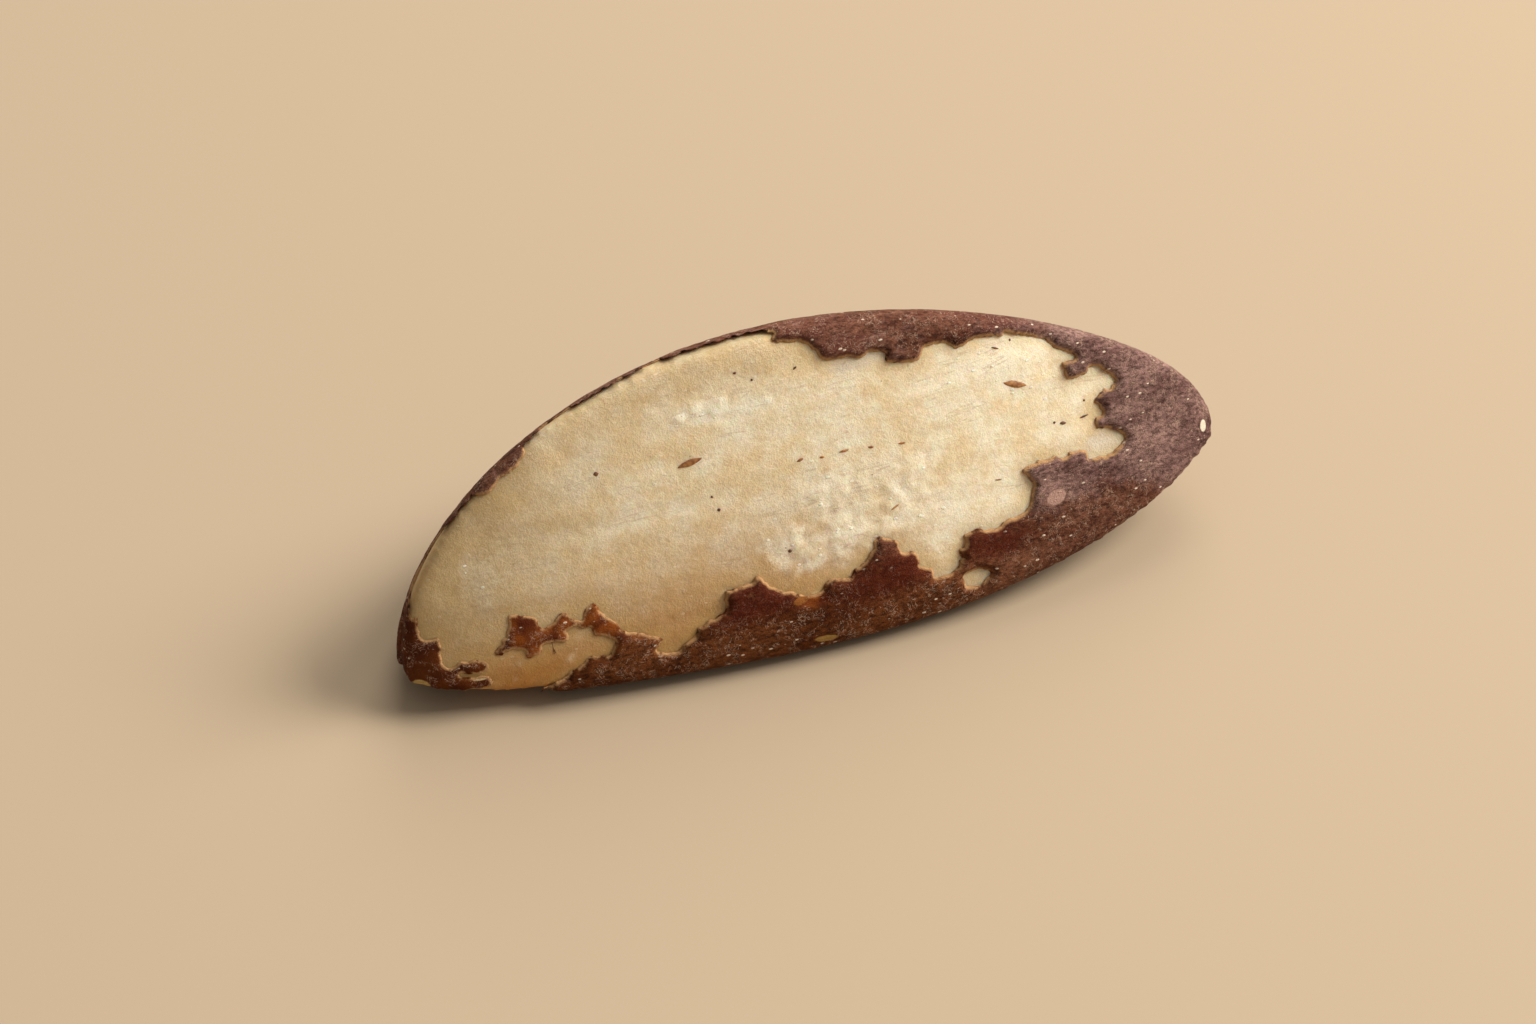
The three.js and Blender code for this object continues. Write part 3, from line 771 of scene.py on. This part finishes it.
# %% Places of the flecks
ORANGE_FLECKS = [
    # x, up, length and width in mm, and turn in degrees
    (-5.5, 5.71, 1.2, 0.30, 8),
    (10.19, 5.16, 1.15, 0.32, -20),
    (-0.58, 4.52, 0.36, 0.13, 10),
    (0.44, 4.38, 0.24, 0.12, -10),
    (1.5, 4.38, 0.50, 0.12, 0),
    (2.77, 4.22, 0.30, 0.12, -15),
    (4.24, 4.0, 0.34, 0.11, -10),
    (3.27, 1.23, 0.5, 0.09, 20),
]
DARK_FLECKS = [
    # the same five numbers for each
    (-9.7, 6.31, 0.24, 0.22, 0),
    (-4.87, 3.94, 0.12, 0.12, 0),
    (-4.69, 3.28, 0.17, 0.15, 0),
    (-1.94, 0.58, 0.19, 0.17, 0),
    (12.12, 2.76, 0.34, 0.16, -10),
    (11.7, 2.9, 0.14, 0.12, 0),
    (13.23, 2.78, 0.5, 0.09, 6),
    (13.4, 3.5, 0.12, 0.11, 0),
    (9.63, 7.01, 0.38, 0.09, -25),
    (10.45, 7.17, 0.14, 0.1, 70),
    (-2.61, 9.12, 0.17, 0.12, 0),
    (0.12, 8.63, 0.22, 0.1, 30),
    (-1.93, 8.62, 0.12, 0.11, 0),
    (9.9, -0.2, 0.3, 0.06, 15),
    (8.4, 1.1, 0.36, 0.06, -8),
]
print(len(ORANGE_FLECKS), "orange and", len(DARK_FLECKS), "dark flecks")


# %% One fleck, laid on the flesh
FLECK_HEIGHT = 0.09  # mm, half of it sunk in the flesh
FLECK_TAPER = 0.55  # how far its ends are drawn in
FLECK_WAVE = 0.1  # of its width
RAY_OUT = 14  # mm outward from the origin, in front of the whole nut
MISSED_OUT = 4  # mm outward, where a spot is looked for when the ray misses
kernel_tree = tree_of(kernel)


def spot_on(tree, x, up):
    start = FACE_TURN @ Vector((x, up, RAY_OUT)) * MM
    place, normal = tree.ray_cast(start, -FACE_TURN.col[2])[:2]
    if place is None:
        place, normal = tree.find_nearest(FACE_TURN @ Vector((x, up, MISSED_OUT)) * MM)[:2]
    return place, normal


def lay_fleck(material, x, up, length, width, turn):
    bpy.ops.mesh.primitive_uv_sphere_add(segments=20, ring_count=10, radius=0.5)
    fleck = bpy.context.object
    bpy.ops.object.mode_set(mode="EDIT")
    bpy.ops.mesh.select_all(action="SELECT")
    bpy.ops.transform.resize(value=(length * MM, width * MM, FLECK_HEIGHT * MM))
    bpy.ops.object.mode_set(mode="OBJECT")
    for vertex in fleck.data.vertices:
        share = vertex.co.x / (0.5 * length * MM)
        wave = noise.noise(Vector((vertex.co.x / MM * 4, x, up)))
        vertex.co.y = vertex.co.y * (1 - FLECK_TAPER * share * share) + FLECK_WAVE * width * MM * wave
    place, normal = spot_on(kernel_tree, x, up)
    turned = Matrix.Rotation(math.radians(turn), 3, "Z") @ Vector((1, 0, 0))
    side = (FACE_TURN @ turned).cross(normal).normalized()
    axes = Matrix((normal.cross(side), -side, normal)).transposed()
    fleck.data.transform(Matrix.Translation(place) @ axes.to_4x4())
    fleck.data.materials.append(material)
    return fleck


# %% All flecks as one piece
orange_material, orange_shader = new_material("orange_fleck")
dark_material, dark_shader = new_material("dark_fleck")
flecks = [lay_fleck(orange_material, *fleck) for fleck in ORANGE_FLECKS]
flecks += [lay_fleck(dark_material, *fleck) for fleck in DARK_FLECKS]
select_only(flecks[0])
for fleck in flecks:
    fleck.select_set(True)
bpy.ops.object.join()
flecks = bpy.context.object
flecks.name = "brown_flecks"
count(flecks)

# %% [markdown]
# ## Words for shader nodes
#
# A material is a tree of small nodes. It could be wired one node and one link at a time, but short helpers
# that take sockets or numbers alike let a finish be read as a recipe: this cloud, spread to that range,
# blends one colour into another.

# %% A node, and the place that a pattern reads
def feed(tree, value, socket):
    if isinstance(value, bpy.types.NodeSocket):
        tree.links.new(value, socket)
    else:
        socket.default_value = value


def node(tree, kind, **values):
    made = tree.nodes.new("ShaderNode" + kind)
    for key, value in values.items():
        if key in made.inputs:
            feed(tree, value, made.inputs[key])
        else:
            setattr(made, key, value)
    return made


def pattern(tree, stretch=(1, 1, 1), turn=0):
    place = node(tree, "TexCoord").outputs["Object"]
    fit = node(tree, "Mapping", Vector=place, Rotation=(turn, 0, 0), Scale=[side / MM for side in stretch])
    return fit.outputs["Vector"]


def stored(tree, name):
    return node(tree, "Attribute", attribute_name=name).outputs["Fac"]


# %% Sums and products
def combine(tree, operation, first, second):
    made = node(tree, "Math", operation=operation)
    feed(tree, first, made.inputs[0])
    feed(tree, second, made.inputs[1])
    return made.outputs["Value"]


def times(tree, first, second):
    return combine(tree, "MULTIPLY", first, second)


def plus(tree, first, second):
    return combine(tree, "ADD", first, second)


def minus(tree, first, second):
    return combine(tree, "SUBTRACT", first, second)


# %% Ranges and blends
def spread(tree, value, low, high, first=0.0, last=1.0):
    made = node(tree, "MapRange", interpolation_type="SMOOTHSTEP", Value=value)
    for name, number in (("From Min", low), ("From Max", high), ("To Min", first), ("To Max", last)):
        made.inputs[name].default_value = number
    return made.outputs["Result"]


def blend(tree, share, first, second, mode="MIX"):
    made = node(tree, "Mix", data_type="RGBA", blend_type=mode, Factor=share)
    for socket, value in ((made.inputs[6], first), (made.inputs[7], second)):  # its two colours
        feed(tree, (*value, 1) if isinstance(value, tuple) else value, socket)
    return made.outputs[2]


# %% Clouds, threads, specks and ovals
def cloud(tree, place, scale, detail=3.0, roughness=0.55, distortion=0.0):
    made = node(tree, "TexNoise", Vector=place, Scale=scale, Detail=detail, Roughness=roughness,
                Distortion=distortion)
    return made.outputs["Fac"]


def threads(tree, place, scale, distortion, width):
    value = minus(tree, cloud(tree, place, scale, 3, 0.6, distortion), 0.5)
    return spread(tree, times(tree, value, value), 0.1 * width * width, width * width, 1, 0)


def specks(tree, place, scale, size, share):
    cells = node(tree, "TexVoronoi", Vector=place, Scale=scale)
    chance = node(tree, "SeparateColor", Color=cells.outputs["Color"]).outputs["Red"]
    inside = spread(tree, cells.outputs["Distance"], 0.6 * size, size, 1, 0)
    return times(tree, inside, spread(tree, chance, 1 - share, 1.02 - share))


def oval_share(tree, surface, x, up, length, width, turn=0, ragged=0.25):
    place = spot_on(surface, x, up)[0]
    turned = (FACE_TURN @ Matrix.Rotation(math.radians(turn), 3, "Z")).to_euler()
    fit = node(tree, "Mapping", vector_type="TEXTURE", Vector=node(tree, "TexCoord").outputs["Object"],
               Location=place, Rotation=turned, Scale=(0.5 * length * MM, 0.5 * width * MM, 1.2 * MM))
    reach = node(tree, "VectorMath", operation="LENGTH")
    tree.links.new(fit.outputs["Vector"], reach.inputs[0])
    wave = times(tree, cloud(tree, pattern(tree), 3.5, 3), ragged)
    waved_reach = plus(tree, reach.outputs["Value"], wave)
    return spread(tree, waved_reach, 0.85 + 0.5 * ragged, 1.1 + 0.5 * ragged, 1, 0)


# %% [markdown]
# ## Finish of the skin
#
# The skin is dry and nearly matt. It is purple-grey at the pointed end, where a painted sheen lightens it,
# red-brown on top, and browner on the lower band. Fine fibres run along the nut, with pale specks and
# threads where its outer layer has scuffed; some of the bright specks are painted glints. Near some tears
# a glossy red layer shows, and the thinnest places let the flesh shine through as orange. A pale rim
# along the tears is the thin lip's lighter colour with a painted highlight. All of it is noise in the
# piece's own coordinates, steered by the stored values.

# %% Patterns of the skin
skin_material, shader = new_material("dry_seed_skin")
tree = skin_material.node_tree
plain = pattern(tree)
mottle = cloud(tree, pattern(tree, (0.3, 1, 1)), 0.75, 6, 0.66)
tint = cloud(tree, plain, 1.3, 4, 0.6)
grain = cloud(tree, pattern(tree, (0.5, 1, 1)), 6.5, 6, 0.7)
fine = cloud(tree, plain, 14, 3, 0.65)
scuff = cloud(tree, plain, 1.7, 4, 0.6)

# %% Purple with a painted sheen, red-brown and brown
# The lighter purple is partly a painted sheen.
PURPLE_AND_SHEEN = (0.112, 0.053, 0.046), (0.268, 0.156, 0.134)  # dark and light
RED_BROWN = (0.080, 0.024, 0.012), (0.185, 0.079, 0.048)
BROWN = (0.070, 0.017, 0.003), (0.150, 0.048, 0.014)
FIBRE_TONE = (0.38, 0.34, 0.31), (1.60, 1.60, 1.62)

dark_share = spread(tree, mottle, 0.32, 0.68)
purple_and_sheen_share = spread(tree, plus(tree, stored(tree, "purple_and_sheen"), times(tree, tint, 1.2)), 0.65, 1.25)
color = blend(tree, purple_and_sheen_share, blend(tree, dark_share, *RED_BROWN), blend(tree, dark_share, *PURPLE_AND_SHEEN))
color = blend(tree, stored(tree, "low_band"), color, blend(tree, dark_share, *BROWN))
fibres = blend(tree, spread(tree, grain, 0.32, 0.68), *FIBRE_TONE)
color = blend(tree, 1.0, color, fibres, "MULTIPLY")

# %% Maroon, red and thin places
MAROON = (0.050, 0.010, 0.008), (0.19, 0.062, 0.044)
RED = (0.030, 0.001, 0.0003), (0.125, 0.016, 0.003)
ORANGE = (0.28, 0.070, 0.009), (0.10, 0.016, 0.003)
DARK_ORANGE = (0.060, 0.011, 0.002)

maroon_share = times(tree, stored(tree, "maroon"), spread(tree, scuff, 0.36, 0.56))
color = blend(tree, times(tree, maroon_share, 0.8), color, blend(tree, grain, *MAROON))
red_share = times(tree, stored(tree, "red"), spread(tree, scuff, 0.28, 0.5))
color = blend(tree, times(tree, red_share, 0.85), color, blend(tree, grain, *RED))
veins = node(tree, "TexVoronoi", Vector=plain, Scale=1.5, feature="SMOOTH_F1").outputs["Distance"]
orange = blend(tree, spread(tree, veins, 0.25, 0.65), *ORANGE)
orange = blend(tree, times(tree, stored(tree, "dark"), 0.7), orange, DARK_ORANGE)
color = blend(tree, times(tree, stored(tree, "thin"), 0.9), color, orange)

# %% Specks with painted glints, threads, and a pale rim with a painted highlight
SPECK_AND_GLINT_COLOR = (0.80, 0.64, 0.50)
THREAD_COLOR = (0.50, 0.33, 0.24)
RIM_AND_HIGHLIGHT_COLOR = (0.58, 0.33, 0.15)

clean = minus(tree, 1.0, times(tree, red_share, 0.8))
# Pale scuffed specks, partly painted glints.
speck_and_glint = times(tree, specks(tree, pattern(tree, (0.5, 1, 1)), 3.2, 0.19, 0.36), clean)
color = blend(tree, times(tree, speck_and_glint, 0.95), color, SPECK_AND_GLINT_COLOR)
thread = times(tree, threads(tree, plain, 1.9, 2.4, 0.02), spread(tree, scuff, 0.46, 0.54))
color = blend(tree, times(tree, times(tree, thread, clean), 0.7), color, THREAD_COLOR)
# Pale rim at the tears: the thin lip's own lighter colour and a painted highlight.
near_tear = spread(tree, stored(tree, "tear_distance"), 0.04, 0.17, 1, 0)
rim_and_highlight_share = times(tree, near_tear, spread(tree, scuff, 0.36, 0.52))
color = blend(tree, times(tree, rim_and_highlight_share, 0.85), color, RIM_AND_HIGHLIGHT_COLOR)

# %% Chips and scraps that have no height
PINK_OVAL = {"x": 10.9, "up": -0.4, "length": 1.0, "width": 0.68, "turn": 15}
ORANGE_SCRAP = {"x": -1.98, "up": -1.76, "length": 0.8, "width": 0.35}
YELLOW_SCRAP = {"x": -1.17, "up": -3.81, "length": 1.1, "width": 0.3, "turn": -8}
YELLOW_CHIP = {"x": -19.3, "up": -1.35, "length": 0.8, "width": 0.42, "turn": -25}
PALE_SLIT = {"x": -16.75, "up": -1.55, "length": 0.6, "width": 0.09, "turn": -5}
CREAM_CHIP = {"x": 19.2, "up": 0.62, "length": 0.34, "width": 0.58, "turn": -15, "ragged": 0.1}

skin_tree = tree_of(skin)
for place, tone in (
    (PINK_OVAL, (0.50, 0.30, 0.24)),
    (ORANGE_SCRAP, (0.24, 0.085, 0.018)),
    (YELLOW_SCRAP, (0.36, 0.20, 0.055)),
    (YELLOW_CHIP, (0.62, 0.42, 0.15)),
    (PALE_SLIT, (0.60, 0.45, 0.25)),
    (CREAM_CHIP, (0.92, 0.80, 0.62)),
):
    color = blend(tree, times(tree, oval_share(tree, skin_tree, **place), 0.92), color, tone)
tree.links.new(color, shader.inputs["Base Color"])

# %% Roughness and bump of the skin
rough = minus(tree, spread(tree, grain, 0.3, 0.7, 0.54, 0.70), times(tree, stored(tree, "red"), 0.12))
tree.links.new(rough, shader.inputs["Roughness"])
shader.inputs["Specular IOR Level"].default_value = 0.06
height = plus(tree, times(tree, grain, 0.65), times(tree, fine, 0.35))
height = plus(tree, height, times(tree, speck_and_glint, 0.25))
bump = node(tree, "Bump", Strength=1.0, Distance=0.13 * MM, Height=height)
tree.links.new(bump.outputs["Normal"], shader.inputs["Normal"])
skin.data.materials.clear()
skin.data.materials.append(skin_material)
print(skin_material.name, "has", len(tree.nodes), "nodes")

# %% [markdown]
# ## Finish of the flesh
#
# The flesh is waxy, so light enters it and comes out again a little further on. Subsurface scattering
# gives that soft look. Its cream is mottled with paler grains, it is yellower where it was under the
# skin not long ago, and thin brown growth lines and dots mark its upper half. Painted shade darkens it at
# the blunt end and along the top edge, and mixes with its amber toward the lower side. A yellower tint
# with painted shade lines the skin's edges, and some bright crystal dots are painted glints.

# %% Cream, painted shade, and amber with painted shade
CREAM = (0.84, 0.67, 0.42), (0.92, 0.82, 0.63)
PAINTED_SHADE_COLOR = (0.57, 0.40, 0.19)
AMBER_AND_SHADE_COLOR = (0.47, 0.23, 0.055)
DEEP_AMBER_AND_SHADE_COLOR = (0.46, 0.19, 0.03)
GRAIN_TONE = (0.93, 0.91, 0.87), (1.05, 1.06, 1.08)

flesh_material, shader = new_material("waxy_flesh")
tree = flesh_material.node_tree
plain = pattern(tree)
mottle = cloud(tree, plain, 0.6, 5, 0.6)
grain = cloud(tree, plain, 5.0, 5, 0.65)
fine = cloud(tree, plain, 13, 3, 0.65)
color = blend(tree, spread(tree, mottle, 0.36, 0.64), *CREAM)
# Painted shade at the blunt end and along the top edge.
color = blend(tree, times(tree, stored(tree, "painted_shade"), 0.85), color, PAINTED_SHADE_COLOR)
# Amber and deep amber: the flesh's yellower tone with painted shade on the lower side.
color = blend(tree, times(tree, stored(tree, "amber_and_shade"), 0.9), color, AMBER_AND_SHADE_COLOR)
color = blend(tree, times(tree, stored(tree, "deep_amber_and_shade"), 0.8), color, DEEP_AMBER_AND_SHADE_COLOR)
grain_tone = blend(tree, spread(tree, grain, 0.3, 0.7), *GRAIN_TONE)
color = blend(tree, 1.0, color, grain_tone, "MULTIPLY")

# %% Pale grains, the scar, and crystals with painted glints
PALE_COLOR = (0.93, 0.84, 0.66)
SCAR_COLOR = (0.94, 0.85, 0.68)
CRYSTAL_AND_GLINT_COLOR = (0.96, 0.91, 0.80)
GREY_COLOR = (0.74, 0.69, 0.62)

pale_share = times(tree, stored(tree, "pale"), spread(tree, grain, 0.3, 0.6, 0.35, 0.9))
pale_share = times(tree, pale_share, spread(tree, stored(tree, "painted_shade"), 0, 1, 1, 0.35))
color = blend(tree, pale_share, color, PALE_COLOR)
scar_share = times(tree, stored(tree, "scar"), spread(tree, grain, 0.3, 0.6, 0.55, 0.95))
color = blend(tree, scar_share, color, SCAR_COLOR)
# Pale crystal dots, partly painted glints.
crystal_and_glint = specks(tree, pattern(tree, (0.6, 1, 1)), 3.0, 0.2, 0.35)
crystal_and_glint = times(tree, crystal_and_glint, plus(tree, stored(tree, "pale"), 0.15))
color = blend(tree, crystal_and_glint, color, CRYSTAL_AND_GLINT_COLOR)
color = blend(tree, times(tree, stored(tree, "grey"), 0.6), color, GREY_COLOR)

# %% Growth lines, hairs, dots, and a tint with painted shade at the flesh's edge
LINE_COLOR = (0.42, 0.22, 0.08)
HAIR_COLOR = (0.45, 0.26, 0.10)
DOT_COLOR = (0.36, 0.19, 0.07)
EDGE_TINT_AND_SHADE_COLOR = (0.58, 0.36, 0.13)

lines = threads(tree, pattern(tree, (0.10, 1, 1), -FACE_TILT), 1.3, 0.9, 0.016)
line = times(tree, lines, spread(tree, mottle, 0.47, 0.62))
color = blend(tree, times(tree, line, 0.28), color, LINE_COLOR)
hair = times(tree, threads(tree, plain, 0.9, 2.2, 0.006), spread(tree, cloud(tree, plain, 1.1), 0.56, 0.62))
color = blend(tree, times(tree, hair, 0.4), color, HAIR_COLOR)
color = blend(tree, times(tree, specks(tree, plain, 1.5, 0.07, 0.22), 0.7), color, DOT_COLOR)
# Near the tears: a yellower tint with painted shade under the skin's edge.
edge = spread(tree, stored(tree, "tear_distance"), 0.05, 1.0, 1, 0)
color = blend(tree, times(tree, edge, 0.5), color, EDGE_TINT_AND_SHADE_COLOR)
tree.links.new(color, shader.inputs["Base Color"])

# %% Wax, roughness and bump of the flesh
tree.links.new(minus(tree, 0.46, times(tree, crystal_and_glint, 0.25)), shader.inputs["Roughness"])
shader.inputs["Specular IOR Level"].default_value = 0.28
shader.inputs["Subsurface Weight"].default_value = 0.6
shader.inputs["Subsurface Radius"].default_value = (1.0, 0.6, 0.3)
shader.inputs["Subsurface Scale"].default_value = 0.7 * MM
height = plus(tree, times(tree, grain, 0.6), times(tree, fine, 0.4))
height = plus(tree, height, times(tree, crystal_and_glint, 0.8))
bump = node(tree, "Bump", Strength=0.8, Distance=0.08 * MM, Height=height)
tree.links.new(bump.outputs["Normal"], shader.inputs["Normal"])
kernel.data.materials.clear()
kernel.data.materials.append(flesh_material)
print(flesh_material.name, "has", len(tree.nodes), "nodes")

# %% [markdown]
# ## Finish of the flecks
#
# The flecks are scraps of the same skin, so thin that the lens-shaped ones glow orange. A cloud blends
# two browns, because a single flat colour would look like paint.

# %% Fleck materials
for material, shader, dark_tone, light_tone in (
    (orange_material, orange_shader, (0.20, 0.065, 0.012), (0.46, 0.20, 0.055)),
    (dark_material, dark_shader, (0.060, 0.022, 0.008), (0.20, 0.085, 0.03)),
):
    tree = material.node_tree
    tone = blend(tree, spread(tree, cloud(tree, pattern(tree), 5.0), 0.35, 0.65), dark_tone, light_tone)
    tree.links.new(tone, shader.inputs["Base Color"])
    shader.inputs["Roughness"].default_value = 0.6

# %% [markdown]
# ## Finished pieces
#
# The smooth flesh and skin take the places of the CAD model's faceted ones, and all three pieces ride the
# one body that the nut has. Shading is smooth, because the remeshed faces are far finer than any relief.

# %% Finished pieces
for piece in (kernel, skin, flecks):
    select_only(piece)
    bpy.ops.object.shade_smooth()
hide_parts("kernel")
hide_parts("skin")
for piece in (kernel, skin, flecks):
    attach(piece, "root")
    count(piece)
